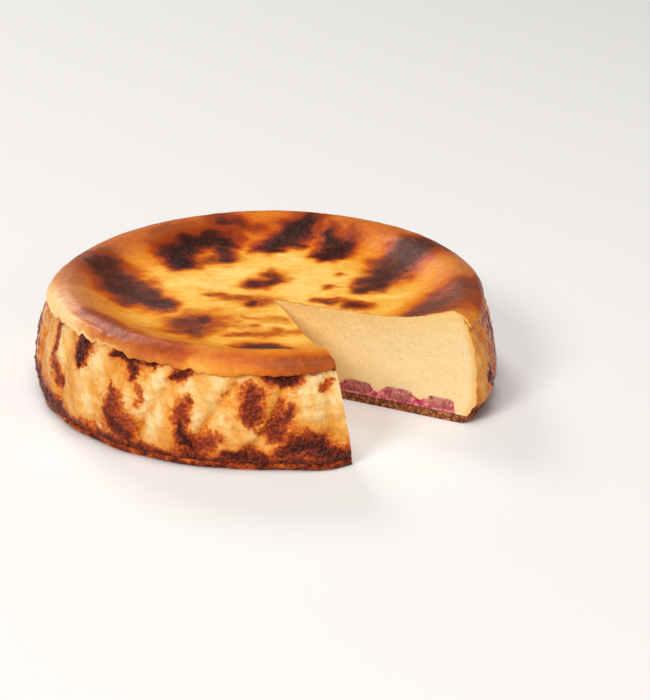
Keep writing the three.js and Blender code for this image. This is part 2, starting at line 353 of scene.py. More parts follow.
def swelling(height, azimuth):
    """How far the side bulges out at each height and azimuth."""
    bulge = sweep(SIDE_BULGES, azimuth) * smoothstep(height, -8, 14)
    shoulder = sweep(SHOULDER_BULGES, azimuth) * smoothstep(height, 26, 46)
    foot = sweep(FOOT_BULGES, azimuth) * (1 - smoothstep(height, 4, 16))
    return bulge + shoulder + foot


def skin_height(x, y):
    """The height of the skin over a point of the plan."""
    radius, azimuth = np.hypot(x, y), np.degrees(np.arctan2(y, x))
    # The radius that this point would have if the cake bulged nowhere, found step by step
    plain = radius
    for _ in range(12):
        height = np.interp(plain, *TOP_LINE)
        on_rim = smoothstep(plain, 60, CREST_RADIUS)
        wide = sweep(WIDE_RIM, azimuth) * (1 - smoothstep(plain, CREST_RADIUS - 8, LIP_RADIUS))
        plain = (plain + radius - (swelling(height, azimuth) + wide) * on_rim) / 2
    on_lip = smoothstep(plain, CREST_RADIUS + 4, SKIN_EDGE_RADIUS)
    dents = 0.45 * wave(azimuth, 4, 3 * plain) * smoothstep(plain, 4, 40)
    rim_rise = sweep(RIM_RISES, azimuth) * on_rim * (1 - on_lip)
    at_edge = smoothstep(plain, LIP_RADIUS - 4, LIP_RADIUS)
    edge = on_lip * sweep(EDGE_RISES, azimuth) + at_edge * edge_waves(azimuth)
    return np.interp(plain, *TOP_LINE) + rim_rise + dents * (1 - on_rim) + edge


def cheese_wall(share, azimuth):
    """Radius and height of the cheese's side, from its foot at 0 to the skin's edge at 1."""
    radius, height = (np.interp(share, WALL_STATIONS, line) for line in WALL_LINE)
    rows_up = (share - LIP_START) * CHEESE_ROWS
    on_side = 1 - smoothstep(rows_up, 0.4, 1.6)
    folded = smoothstep(height, LAYER_BOTTOM, 12) * (1 - 0.6 * smoothstep(height, 36, SKIN_EDGE_HEIGHT))
    crags = 0.3 * wave(azimuth + 2 * height, 17, 15) * wave(azimuth - 3 * height, 11, 80)
    relief = (crags - fold_depth(azimuth, height)) * folded
    gap = sweep(LIP_GAPS, azimuth) * smoothstep(rows_up, -5, 1)
    radius = radius + swelling(height, azimuth) + (relief - gap) * on_side
    rise = smoothstep(height, 26, SKIN_EDGE_HEIGHT) * sweep(EDGE_RISES, azimuth)
    return radius, height + rise + smoothstep(rows_up, -6, 2) * edge_waves(azimuth)


def fruit_wall(share, azimuth):
    """Radius and height of the fruit layer's side, from its bottom at 0 to its top at 1."""
    radius = FRUIT_RADIUS - share + 1.2 * wave(azimuth, 7, 30)
    return radius, LAYER_BOTTOM + share * (FRUIT_TOP - LAYER_BOTTOM)


def fruit_height(x, y):
    """The top of the fruit: level with the pear pieces, and lower in the gaps between them."""
    along = np.hypot(x - WEDGE_TIP[0], y - WEDGE_TIP[1]) - PIECE_START
    # Counted in pitches from the middle of a gap, and there is no dip before the first piece
    from_gap = (along - (PIECE_LENGTH + PIECE_PITCH) / 2) / PIECE_PITCH
    dip = (0.5 + 0.5 * np.cos(2 * math.pi * from_gap)) ** 6 * (along > PIECE_LENGTH / 2)
    return FRUIT_TOP + 0.2 - FRUIT_DIP * dip + 0.35 * np.sin(0.65 * along + 0.09 * x)


def base_wall(share, azimuth):
    """Radius and height of the biscuit base's side, from its bottom at 0 to its top at 1."""
    radius = FOOT_RADIUS + np.interp(share, (0, 0.3, 0.85, 1), (-1.2, 0.2, 0.6, -0.2))
    height = share * BASE_TOP
    crumbs = 0.35 * wave(azimuth, 23, 60) + 0.25 * wave(azimuth + 30 * height, 14, 10)
    return radius + swelling(height, azimuth) + crumbs, height


def base_height(x, y):
    """The level top of the biscuit base."""
    return BASE_TOP + 0 * x


def tip_at(height):
    """Where the wedge's tip lies at that height: further out the lower, as both cuts lean."""
    shift = TIP_SHIFT * (1 - height / PLAIN_HEIGHT)
    turn = math.radians(CUT_MIDDLE)
    return WEDGE_TIP[0] + shift * math.cos(turn), WEDGE_TIP[1] + shift * math.sin(turn)


def reach_of(wall, share, turn):
    """How far a ray from the wedge's tip runs to the wall, and the height where it meets it."""
    azimuth = turn
    across, along = np.cos(np.radians(turn)), np.sin(np.radians(turn))
    # The wall is uneven, so the place where the ray meets it is found step by step
    for _ in range(6):
        radius, height = wall(share, azimuth)
        x, y = tip_at(height)
        inwards = x * across + y * along
        reach = np.sqrt(inwards**2 + radius**2 - x**2 - y**2) - inwards
        azimuth = np.degrees(np.arctan2(y + reach * along, x + reach * across))
    return reach, height


def about_z(degrees):
    return Matrix.Rotation(math.radians(degrees), 3, "Z")


def turned_copy(bm, faces, degrees):
    """Copies faces, turned about the wedge's tip, and returns the new ones."""
    copy = bmesh.ops.duplicate(bm, geom=faces)["geom"]
    verts = [item for item in copy if isinstance(item, bmesh.types.BMVert)]
    bmesh.ops.rotate(bm, verts=verts, cent=(0, 0, 0), matrix=about_z(degrees))
    return [item for item in copy if isinstance(item, bmesh.types.BMFace)]


def sliced_round(columns, rows, steps, shelf=None, lip_rows=0):
    """A closed round with a wedge missing, one unit in radius and height, round the wedge's tip.

    Columns run from the tip to the wall and rows from the bottom up. With a shelf, the underside up to
    that column is a ceiling over the layer below, and without one the underside is plain. Materials
    are 0 on top and on the lip's rows, 1 on the wall, and 2 on the cuts and the underside.
    """
    bm = bmesh.new()
    bmesh.ops.create_grid(bm, x_segments=columns, y_segments=rows, size=0.5)
    bmesh.ops.translate(bm, verts=bm.verts, vec=(0.5, 0.5, 0))
    upright = Matrix.Rotation(math.pi / 2, 3, "X")
    bmesh.ops.rotate(bm, verts=bm.verts, cent=(0, 0, 0), matrix=upright)
    bmesh.ops.rotate(bm, verts=bm.verts, cent=(0, 0, 0), matrix=about_z(RIGHT_CUT))
    tiny = 0.1 / max(columns, rows)
    ledge = 1 if shelf is None else shelf / columns
    lip = 1 - lip_rows / rows

    def lies(verts, place):
        return all(place(math.hypot(v.co.x, v.co.y), v.co.z) for v in verts)

    def on_top(radius, height):
        return height > 1 - tiny

    def on_lip(radius, height):
        return radius > 1 - tiny and height > lip - tiny

    def on_wall(radius, height):
        return radius > 1 - tiny

    def on_ledge(radius, height):
        return height < tiny and radius > ledge - tiny

    # The grid is one cut, and its copy the other
    edges = [e for e in bm.edges if any(lies(e.verts, place) for place in (on_top, on_wall, on_ledge))]
    turned_copy(bm, bm.faces[:], SWEEP)
    for face in bm.faces:
        face.material_index = 2
    cuts = set(bm.faces)

    # The outline is spun over a small part of the way, and that stretch then doubled
    part = SWEEP / 2**DOUBLINGS
    way = {"cent": (0, 0, 0), "axis": (0, 0, 1), "angle": math.radians(part), "use_merge": False}
    bmesh.ops.spin(bm, geom=edges, steps=steps // 2**DOUBLINGS, **way)
    shell = [f for f in bm.faces if f not in cuts]
    for face in shell:
        found = [i for i, place in ((0, on_top), (0, on_lip), (1, on_wall)) if lies(face.verts, place)]
        face.material_index = found[0] if found else 2
    for _ in range(DOUBLINGS):
        shell += turned_copy(bm, shell, part)
        part *= 2
    bmesh.ops.remove_doubles(bm, verts=bm.verts, dist=tiny / 100)

    # One face closes the underside, and an inset keeps a ceiling's middle clear of the cuts
    rim = [e for e in bm.edges if e.is_boundary]
    underside = bmesh.ops.contextual_create(bm, geom=rim)["faces"]
    for face in underside:
        face.material_index = 2
    if shelf is not None:
        bmesh.ops.inset_region(bm, faces=underside, thickness=0.02, use_even_offset=True)
    bmesh.ops.recalc_face_normals(bm, faces=bm.faces)

    # Sharp where two finishes meet, and where cut and underside meet at more than a radian
    for face in bm.faces:
        face.smooth = True
    for edge in bm.edges:
        found = {f.material_index for f in edge.link_faces}
        edge.smooth = len(found) == 1 and (found != {2} or edge.calc_face_angle(0) < 1)
    return bm


def crowded(share):
    """Evenly spaced shares, brought closer together towards the wall."""
    return 1 - (1 - np.clip(share, 0, 1)) ** OUTWARD_CROWDING


def hollow_column(columns):
    """The column where the room for the fruit ends."""
    return int(np.searchsorted(crowded(np.linspace(0, 1, columns + 1)), HOLLOW_SHARE))


def shaped_round(bm, wall, top, shelf=None, columns=1):
    """Gives a sliced round its real form, and returns its points with what is known of each.

    A shelf and the number of columns are given where there is room for the fruit underneath.
    """
    plain = np.array([v.co[:] for v in bm.verts])
    share, rise = np.hypot(plain[:, 0], plain[:, 1]), plain[:, 2]
    turn = np.degrees(np.arctan2(plain[:, 1], plain[:, 0]))
    across, along = np.cos(np.radians(turn)), np.sin(np.radians(turn))
    edge_reach, edge_height = reach_of(wall, np.ones_like(share), turn)
    wall_reach, wall_height = reach_of(wall, rise, turn)
    foot_height = wall(np.zeros(1), np.zeros(1))[1][0]
    out = crowded(share)
    if shelf is not None:
        # The first column past the shelf moves just outside the fruit's wall, and the shelf's own
        # column close inside that one
        inner, outer = crowded(np.array([shelf, shelf + 1]) / columns)
        room = reach_of(wall, np.zeros_like(share), turn)[0]
        end = (reach_of(fruit_wall, np.zeros_like(share), turn)[0] + FRUIT_GAP) / room
        beyond = end + (out - outer) * (1 - end) / (1 - outer)
        out = np.where(out < (inner + outer) / 2, out * (end - HOLLOW_STEP) / inner, beyond)
    # The cuts lean, so where a column meets the top depends on its height and is found step by step
    top_height = edge_height
    for _ in range(24):
        x, y = tip_at(top_height)
        found = top(x + out * edge_reach * across, y + out * edge_reach * along)
        top_height = (top_height + np.where(share > 1 - HAIR, edge_height, found)) / 2
    bottom = np.full_like(out, foot_height)
    if shelf is not None:
        x, y = tip_at(FRUIT_TOP)
        over_fruit = fruit_height(x + out * room * across, y + out * room * along) - CEILING_SINK
        bottom = np.where(share < (shelf + 0.5) / columns, over_fruit, foot_height)
    # Close to the wall, rows come to lie at the heights of the wall's own rows
    at_wall = smoothstep(share, 0.93, 1)
    raised = rise + ((wall_height - foot_height) / (edge_height - foot_height) - rise) * at_wall
    height = bottom + (top_height - bottom) * raised
    reach = out * wall_reach
    x, y = tip_at(height)
    points = np.stack([x + reach * across, y + reach * along, height], 1)
    on_front, on_right = (np.abs(away(turn, cut)) < SAME_TURN for cut in (FRONT_CUT, RIGHT_CUT))
    known = {
        "rise": rise,
        "on_cut": (on_front | on_right | (share < HAIR)) & (rise > HAIR),
        "front": on_front,
        "on_wall": share > 1 - HAIR,
        "on_top": rise > 1 - HAIR,
        "under_skin": top_height - height,
        "from_rind": wall_reach - reach,
        "reach": reach,
    }
    return points, known


def out_of_cut(known):
    """The direction out of the cut at each point, and nothing elsewhere."""
    turn = np.radians(np.where(known["front"], FRONT_CUT + 90, RIGHT_CUT - 90))
    return np.stack([np.cos(turn), np.sin(turn), 0 * turn], 1) * known["on_cut"][:, None]


def outwards(points):
    """The level direction away from the cake's middle at each point."""
    radius = np.hypot(points[:, 0], points[:, 1]).clip(1)
    return np.stack([points[:, 0], points[:, 1], 0 * radius], 1) / radius[:, None]


def stroke_distance(x, y, stroke):
    """The distance from a drawn stroke, as a share of the stroke's own half width."""
    nearest = np.full(len(x), np.inf)
    for (ax, ay, wide), (bx, by, other) in zip(stroke, stroke[1:] or stroke):
        length = max((bx - ax) ** 2 + (by - ay) ** 2, 1e-9)
        share = np.clip(((x - ax) * (bx - ax) + (y - ay) * (by - ay)) / length, 0, 1)
        gap = np.hypot(x - ax - share * (bx - ax), y - ay - share * (by - ay))
        nearest = np.minimum(nearest, gap / (wide + share * (other - wide)))
    return nearest


def burn_of(points):
    """How burnt the skin is at each point, how much painted sheen it gets, and how close it lies to a
    burn.
    """
    # Noise moves each point before it is looked up, which frays the patches' edges
    x = points[:, 0] + 3.2 * grain(points, 12, 1) + 0.6 * grain(points, 4, 3)
    y = points[:, 1] + 5.0 * grain(points, 12, 2) + 0.9 * grain(points, 4, 4)
    burn, sheen_share, halo = np.zeros((3, len(points)))
    for strength, painted_sheen, stroke in SKIN_PATCHES:
        distance = stroke_distance(x, y, stroke)
        share = 1 - smoothstep(distance, 0, 1.95)
        burn = np.maximum(burn, strength * share)
        sheen_share = np.maximum(sheen_share, painted_sheen * np.sqrt(share))
        halo = np.maximum(halo, strength * (1 - smoothstep(distance, 0.9, 2.8)))
    mottled = np.clip(0.96 + 0.24 * grain(points, 7, 15, 3), 0.7, 1.1)
    return burn * mottled, sheen_share, halo


def tones(points, table):
    """The sum of a table's soft tones at each point."""
    radius = np.hypot(points[:, 0], points[:, 1])
    azimuth = np.degrees(np.arctan2(points[:, 1], points[:, 0]))
    found = np.zeros(len(points))
    for at, width, around, half, size in table:
        found += size * np.exp(-((away(azimuth, at) / width) ** 2) - ((radius - around) / half) ** 2)
    return found


def tan_of(points):
    """How far the unburnt skin has gone from golden yellow to amber, from 0 to 1."""
    radius = np.hypot(points[:, 0], points[:, 1])
    tan = 0.12 + 0.4 * smoothstep(radius, 48, 92) + 0.12 * grain(points, 22, 5)
    return np.clip(tan + tones(points, TAN_TONES), 0, 1)


def unseen_patches():
    """Crusty patches round the back of the side, of the same sizes as those in the picture."""
    draw = random.Random(UNSEEN_SEED)
    patches = []
    for i in range(UNSEEN_PATCHES):
        azimuth = UNSEEN_START + UNSEEN_SPAN * (i + draw.uniform(0.1, 0.9)) / UNSEEN_PATCHES
        top = draw.choice(UNSEEN_TOPS)
        fall = draw.uniform(2, 9)
        wide = draw.uniform(1.8, 6)
        lean = draw.uniform(-2, 2)
        taper = (1, 0.8, 0.3) if top == max(UNSEEN_TOPS) else (0.3, 0.9, 1.1)
        stroke = [(azimuth + lean * k, top - fall * k, wide * taper[k]) for k in range(3)]
        patches.append((draw.uniform(0.45, 1), stroke))
    return patches


def crust_of(points):
    """How crusty and brown the side is at each point, from 0 to 1."""
    # Noise moves each point before it is looked up, which frays the patches' edges
    turned = 1.3 * grain(points, 9, 6) + 0.7 * grain(points, 2.6, 8)
    raised = 2.4 * grain(points, 9, 7) + 1.2 * grain(points, 2.6, 9)
    azimuth = np.degrees(np.arctan2(points[:, 1], points[:, 0])) + turned
    height = points[:, 2] + raised
    behind = smoothstep(np.sin(np.radians(azimuth)), -0.1, 0.4)
    band_height = height + 2.5 * behind * wave(azimuth, 11, 40)
    crust = BOTTOM_CRUST * (1 - smoothstep(band_height, *BOTTOM_BAND))
    crust = np.maximum(crust, sweep(CRUSTY_STRETCHES, azimuth))
    per_degree = math.radians(1) * CAKE_RADIUS
    for strength, stroke in (*SIDE_PATCHES, *unseen_patches()):
        at = stroke[0][0]
        across = away(azimuth, at) * per_degree
        drawn = [(away(a, at) * per_degree, h, wide) for a, h, wide in stroke]
        distance = stroke_distance(across, height, drawn)
        crust = np.maximum(crust, strength * (1 - smoothstep(distance, 0.2, 2.0)))
        crust = np.maximum(crust, 0.3 * strength * (1 - smoothstep(distance, 0.9, 3.4)))
    return crust


def warmth_of(points):
    """Slanting streaks of the side, from pale cream at 0 to yellow and orange at 1, and painted shade
    that makes the folds' creases warmer.
    """
    azimuth = np.degrees(np.arctan2(points[:, 1], points[:, 0]))
    around = azimuth * math.radians(1) * CAKE_RADIUS + STREAK_SLANT * points[:, 2]
    streaks = np.stack([around, 0.45 * points[:, 2], 0 * around], 1)
    low = 1 - smoothstep(points[:, 2], 8, 24)
    ends = sweep(WARM_STRETCHES, azimuth)
    # Painted shade: the deeper a fold's crease, the warmer and more orange the side is painted there.
    crease_shade = fold_depth(azimuth, points[:, 2]) / FOLD_DEPTH
    return np.clip(0.3 + 0.5 * grain(streaks, 9, 16, 3) + 0.25 * low + 0.4 * crease_shade + ends, 0, 1)


def finished(bm, name, points, materials, attributes):
    """Turns a bmesh into a finished piece, with its points in metres and its named values."""
    mesh = bpy.data.meshes.new(name)
    bm.to_mesh(mesh)
    bm.free()
    mesh.vertices.foreach_set("co", (points * MM).ravel())
    for label, values in attributes.items():
        mesh.attributes.new(label, "FLOAT", "POINT").data.foreach_set("value", values.astype(np.float32))
    for material in materials:
        mesh.materials.append(material)
    mesh.update()
    piece = bpy.data.objects.new(name, mesh)
    bpy.context.scene.collection.objects.link(piece)
    return piece


def cheese_body(materials):
    shelf = hollow_column(CHEESE_COLUMNS)
    bm = sliced_round(CHEESE_COLUMNS, CHEESE_ROWS, CHEESE_STEPS, shelf, LIP_ROWS - 1)
    points, known = shaped_round(bm, cheese_wall, skin_height, shelf, CHEESE_COLUMNS)
    crust = crust_of(points)
    burn, sheen_share, halo = burn_of(points)
    azimuth = np.degrees(np.arctan2(points[:, 1], points[:, 0]))
    on_side = known["on_wall"] & (known["rise"] < LIP_START)
    on_lip = known["on_wall"] & (known["rise"] > LIP_START + 0.5 / CHEESE_ROWS)
    # Relief of the side, more where it is crusty, and then of the cuts and the skin
    lumps = granules(points, 2.3, 1) + 0.5 * granules(points, 1.1, 2) - 0.75
    crusty = smoothstep(crust, 0.3, 0.7)
    side = 0.5 * grain(points, 6, 10) + 0.34 * grain(points, 2.4, 11) + 0.9 * crusty * lumps
    points += outwards(points) * (side * on_side)[:, None]
    face = 0.28 * grain(points, 9, 12) + 0.12 * grain(points, 2.4, 13)
    points += out_of_cut(known) * face[:, None]
    points[:, 2] += known["on_top"] * ~known["on_wall"] * 0.12 * grain(points, 5, 14)
    pale_lip = 0.45 * on_lip * (1 - smoothstep(np.abs(away(azimuth, PALE_LIP_MIDDLE)), 14, 27))
    attributes = {
        "burn": burn,
        "sheen_share": sheen_share,
        "tan": tan_of(points) + 0.3 * halo - pale_lip,
        "streaky": 1 - smoothstep(np.hypot(points[:, 0], points[:, 1]), 60, 84),
        "rosy_and_sheen": np.clip(tones(points, ROSY_AND_SHEEN_TONES), 0, 1),
        "crust": crust,
        "warmth": warmth_of(points),
        "under_skin": known["under_skin"],
        "from_rind": known["from_rind"],
        "from_tip": known["reach"],
    }
    return finished(bm, "cheese_body", points, materials, attributes)


def compote_layer(material):
    bm = sliced_round(FRUIT_COLUMNS, FRUIT_ROWS, FRUIT_STEPS)
    points, known = shaped_round(bm, fruit_wall, fruit_height)
    points += out_of_cut(known) * (0.3 + 0.3 * grain(points, 2.5, 20))[:, None]
    points[:, 2] += known["on_cut"] * known["rise"] * 0.35 * grain(points, 3, 21)
    return finished(bm, "compote_layer", points, [material] * 3, {})


def crumb_base(crumb, side):
    bm = sliced_round(BASE_COLUMNS, BASE_ROWS, BASE_STEPS)
    points, known = shaped_round(bm, base_wall, base_height)
    lumps = granules(points, 1.9, 3) - 0.6
    points += outwards(points) * (0.9 * lumps * known["on_wall"])[:, None]
    points += out_of_cut(known) * (0.2 + 1.1 * lumps)[:, None]
    crust = 0.6 + 0.4 * grain(points, 5, 22)
    browning = {"crust": crust, "warmth": np.ones_like(crust)}
    return finished(bm, "crumb_base", points, [crumb, side, crumb], browning)


def pear_slice(number, cut, place, material):
    """A diced piece of pear, flat where the knife cut it and rounded where it lies in the cake."""
    length = PIECE_LENGTH * (0.94 + 0.08 * math.sin(2.3 * place + cut))
    bm = bmesh.new()
    bmesh.ops.create_cube(bm, size=2)
    bmesh.ops.subdivide_edges(bm, edges=bm.edges, cuts=11, use_grid_fill=True)
    plain = np.array([v.co[:] for v in bm.verts])
    # The block's corners come in and its middle stays
    x, y, z = plain.T
    rounding = 1 - 0.14 * (np.abs(x) ** 6 * np.abs(z) ** 6) - 0.16 * np.abs(x * z) ** 2
    uneven = 1 + 0.08 * grain(plain + 10 * number, 0.8, 30)
    along = PIECE_START + PIECE_LENGTH / 2 + PIECE_PITCH * place + 0.5 * length * x * rounding * uneven
    height = PIECE_MIDDLE + 0.5 * PIECE_HEIGHT * z * rounding * uneven
    lean = CUT_SPREAD * (1 - height / PLAIN_HEIGHT)
    edge_in = 0.9 * np.maximum(np.abs(x), np.abs(z)) ** 10
    bump = 0.15 * grain(plain + 5 * number, 0.35, 31)
    inside = (y + 1) / 2
    across = -(lean + 0.45) + edge_in * (1 - inside) + bump + inside * (PIECE_DEPTH + lean)
    turn = math.radians(cut)
    into = 1 if cut == RIGHT_CUT else -1
    place_x = WEDGE_TIP[0] + along * math.cos(turn) - into * across * math.sin(turn)
    place_y = WEDGE_TIP[1] + along * math.sin(turn) + into * across * math.cos(turn)
    points = np.stack([place_x, place_y, height], 1)
    for face in bm.faces:
        face.smooth = True
    # The front cut's pieces are mirrored, so their faces point inwards until they are reversed
    if into < 0:
        bmesh.ops.reverse_faces(bm, faces=bm.faces)
    return finished(bm, f"pear_slice_{number}", points, [material], {})


# Materials


class Recipe:
    """The nodes of one material, each joined to what feeds it as it is added."""

    def __init__(self, name):
        self.material = bpy.data.materials.new(name)
        self.material.use_nodes = True
        self.tree = self.material.node_tree
        self.shader = self.tree.nodes["Principled BSDF"]
        self.place = self.add("ShaderNodeTexCoord").outputs["Object"]

    def add(self, kind, inputs=None, **settings):
        """A new node, with its settings and what feeds its inputs."""
        node = self.tree.nodes.new(kind)
        for key, value in settings.items():
            setattr(node, key, value)
        for key, value in (inputs or {}).items():
            self.feed(node.inputs[key], value)
        return node

    def feed(self, socket, value):
        if isinstance(value, bpy.types.NodeSocket):
            self.tree.links.new(value, socket)
        else:
            socket.default_value = value

    def value(self, label):
        """What the mesh says about each point under that name."""
        return self.add("ShaderNodeAttribute", attribute_name=label).outputs["Fac"]

    def noise(self, size, detail=3.0, rough=0.55, twist=0.0, place=None):
        """Cloudy noise from 0 to 1, in lumps of about that size in millimetres."""
        inputs = {
            "Vector": self.place if place is None else place,
            "Scale": 1 / (size * MM),
            "Detail": detail,
            "Roughness": rough,
            "Distortion": twist,
        }
        return self.add("ShaderNodeTexNoise", inputs).outputs["Fac"]

    def cells(self, size):
        """The distance to the middle of the nearest cell, of about that size in millimetres."""
        inputs = {"Vector": self.place, "Scale": 1 / (size * MM)}
        return self.add("ShaderNodeTexVoronoi", inputs).outputs["Distance"]

    def stretched(self, *scale):
        """The place with each axis scaled, which draws a pattern out along those scaled down."""
        return self.add("ShaderNodeMapping", {"Vector": self.place, "Scale": scale}).outputs[0]

    def math(self, operation, first, second=0.0, third=0.0):
        return self.add("ShaderNodeMath", {0: first, 1: second, 2: third}, operation=operation).outputs[0]

    def swing(self, value, most):
        """A value from 0 to 1, turned into one that swings that far up and down."""
        return self.math("MULTIPLY_ADD", value, 2 * most, -most)

    def total(self, first, *others):
        """The sum of some values."""
        for other in others:
            first = self.math("ADD", first, other)
        return first

    def blend_in(self, value, low, high, to_low=0.0, to_high=1.0):
        """Goes smoothly from to_low to to_high as the value goes from low to high."""
        inputs = {"Value": value, 1: low, 2: high, 3: to_low, 4: to_high}
        return self.add("ShaderNodeMapRange", inputs, interpolation_type="SMOOTHSTEP").outputs["Result"]

    def ramp(self, value, stops):
        """Colours along a value: pairs of a position and a colour."""
        node = self.add("ShaderNodeValToRGB", {"Fac": value})
        while len(node.color_ramp.elements) < len(stops):
            node.color_ramp.elements.new(0.5)
        for element, (position, colour) in zip(node.color_ramp.elements, stops):
            element.position = position
            element.color = colour
        return node.outputs["Color"]

    def mix(self, share, first, second, way="MIX"):
        """The first colour where the share is 0, and the second where it is 1."""
        node = self.add("ShaderNodeMix", data_type="RGBA", blend_type=way)
        self.feed(node.inputs["Factor"], share)
        self.feed(node.inputs[6], first)
        self.feed(node.inputs[7], second)
        return node.outputs[2]

    def relief(self, height, depth):
        """Fine relief of that depth in millimetres."""
        inputs = {"Height": height, "Distance": depth * MM, "Strength": 1.0}
        return self.add("ShaderNodeBump", inputs).outputs["Normal"]

    def finish(self, **sockets):
        """Feeds the shader's own inputs, named with _ for each space, and returns the material."""
        for label, value in sockets.items():
            self.feed(self.shader.inputs[label.replace("_", " ")], value)
        return self.material


def burnt_skin():
    """Satin skin, from golden yellow to amber, with dark burnt patches, painted sheen on some of them,
    and rosy tones near the rim that are partly painted sheen.
    """
    made = Recipe("burnt_skin")
    streaks = made.noise(4.5, 4, 0.62, 0.9, made.stretched(0.38, 1, 1))
    cloud = made.noise(9, 3, 0.55, 0.5)
    blotch = made.noise(3.4, 4, 0.62, 0.3)
    fine = made.noise(1.0, 3, 0.6)
    drawn_out = made.math("MULTIPLY", made.swing(streaks, 0.4), made.value("streaky"))
    tan = made.total(made.value("tan"), drawn_out, made.swing(blotch, 0.2), made.swing(fine, 0.08))
    golden = made.ramp(
        tan,
        (
            (0.0, paint(252, 208, 116)),
            (0.25, paint(246, 184, 76)),
            (0.5, paint(232, 144, 36)),
            (0.78, paint(208, 104, 26)),
            (1.0, paint(160, 74, 30)),
        ),
    )
    # Partly painted sheen: a rosy, paler mauve-brown where light glances off the rim's shoulders.
    rosy_and_sheen = made.ramp(
        tan,
        (
            (0.0, paint(248, 208, 152)),
            (0.4, paint(216, 146, 94)),
            (0.7, paint(178, 106, 68)),
            (1.0, paint(138, 80, 58)),
        ),
    )
    golden = made.mix(made.value("rosy_and_sheen"), golden, rosy_and_sheen)
    patch = made.value("burn")
    shaken = made.total(made.swing(cloud, 0.15), made.swing(blotch, 0.1), made.swing(fine, 0.06))
    burn = made.math("MULTIPLY_ADD", shaken, made.blend_in(patch, 0.02, 0.4), patch)
    burnt = made.ramp(
        burn,
        (
            (0.1, paint(200, 94, 26)),
            (0.32, paint(164, 64, 22)),
            (0.5, paint(118, 42, 18)),
            (0.7, paint(80, 27, 11)),
            (0.92, paint(48, 16, 7)),
        ),
    )
    # Painted sheen: lighter, greyer browns where light glances off a burnt patch.
    painted_sheen = made.ramp(
        burn,
        (
            (0.1, paint(190, 112, 70)),
            (0.34, paint(162, 92, 62)),
            (0.6, paint(124, 68, 50)),
            (0.95, paint(92, 49, 38)),
        ),
    )
    dark = made.mix(made.value("sheen_share"), burnt, painted_sheen)
    toasted = made.ramp(
        burn,
        (
            (0.0, paint(255, 255, 255)),
            (0.12, paint(246, 222, 184)),
            (0.3, paint(216, 156, 104)),
        ),
    )
    golden = made.mix(1.0, golden, toasted, "MULTIPLY")
    colour = made.mix(made.blend_in(burn, 0.08, 0.58), golden, dark)
    wrinkles = made.noise(3.2, 2, 0.5, 1.2)
    dull = made.blend_in(burn, 0.1, 0.7, 0.3, 1.0)
    normal = made.relief(made.math("MULTIPLY", wrinkles, dull), 0.4)
    rough = made.blend_in(burn, 0.2, 0.8, 0.33, 0.45)
    return made.finish(Base_Color=colour, Roughness=rough, Normal=normal, Specular_IOR_Level=0.09)


def baked_side():
    """Moist pale side with caramelised, grainy crust."""
    made = Recipe("baked_side")
    cloud = made.noise(6, 4, 0.6)
    fine = made.noise(1.5, 4, 0.65)
    grains = made.cells(1.6)
    crust = made.value("crust")
    warmth = made.total(made.value("warmth"), made.swing(cloud, 0.25), made.swing(fine, 0.15))
    pale = made.ramp(
        warmth,
        (
            (0.1, paint(250, 213, 152)),
            (0.35, paint(246, 192, 112)),
            (0.62, paint(239, 162, 68)),
            (0.95, paint(226, 132, 36)),
        ),
    )
    loose = made.math("MULTIPLY_ADD", cloud, 0.5, -0.24)
    grit = made.total(made.math("MULTIPLY_ADD", grains, -0.4, 0.16), made.swing(fine, 0.13))
    mottled = made.math("MULTIPLY", grit, made.blend_in(crust, 0.05, 0.5))
    rich = made.total(crust, loose, mottled)
    brown = made.ramp(
        rich,
        (
            (0.12, paint(238, 158, 54)),
            (0.28, paint(220, 114, 28)),
            (0.44, paint(184, 76, 20)),
            (0.62, paint(144, 50, 16)),
            (0.82, paint(102, 34, 13)),
            (1.0, paint(64, 22, 11)),
        ),
    )
    colour = made.mix(made.blend_in(rich, 0.04, 0.3), pale, brown)
    lumpy = made.math("MULTIPLY_ADD", made.noise(0.9, 2), 0.4, made.noise(2.4, 2, 0.55))
    bumps = made.math("MULTIPLY_ADD", made.math("MULTIPLY", grains, crust), -1.2, lumpy)
    normal = made.relief(bumps, 1.1)
    return made.finish(Base_Color=colour, Roughness=0.26, Normal=normal, Specular_IOR_Level=0.2)


def cut_filling():
    """Pale cream filling with fine pores, amber under the skin, yellower by the rind, and painted shade
    that makes it a deeper yellow towards the wedge's tip.
    """
    made = Recipe("cut_filling")
    under = made.value("under_skin")
    rind = made.value("from_rind")
    cloud = made.noise(12, 3, 0.5)
    cream = made.mix(cloud, paint(243, 210, 150), paint(248, 220, 168))
    yellow = made.mix(made.blend_in(under, 0.0, 16.0, 0.7, 0.0), cream, paint(248, 204, 126))
    # Painted shade: the cut face is painted a deeper yellow towards the wedge's tip, where it lies in
    # shade.
    tip_shade = made.blend_in(made.value("from_tip"), 5.0, 60.0, 0.8, 0.0)
    yellow = made.mix(tip_shade, yellow, paint(246, 202, 126))
    sides = made.mix(made.blend_in(rind, 0.0, 4.0, 0.8, 0.0), yellow, paint(240, 178, 86))
    holes = made.math("MULTIPLY", made.blend_in(made.cells(2.0), 0.08, 0.32, 1.0, 0.0), made.noise(5, 2))
    near_top = made.blend_in(under, 1.5, 7.0, 1.0, 0.0)
    spotted = made.mix(made.math("MULTIPLY", holes, near_top), sides, paint(216, 136, 60))
    line = made.blend_in(made.math("MULTIPLY_ADD", made.noise(3), 0.8, under), 0.5, 1.3, 1.0, 0.0)
    amber = made.mix(made.blend_in(made.value("burn"), 0.1, 0.6), paint(230, 158, 68), paint(110, 50, 26))
    colour = made.mix(line, spotted, amber)
    drags = made.noise(1.3, 3, 0.6, 0.3, made.stretched(1, 1, 0.36))
    pores = made.math("MULTIPLY_ADD", made.blend_in(made.cells(2.3), 0.0, 0.3), 0.5, drags)
    return made.finish(
        Base_Color=colour, Roughness=0.5, Normal=made.relief(pores, 0.5), Specular_IOR_Level=0.15,
        Subsurface_Weight=0.1, Subsurface_Radius=(1.0, 0.7, 0.4), Subsurface_Scale=0.003,
    )


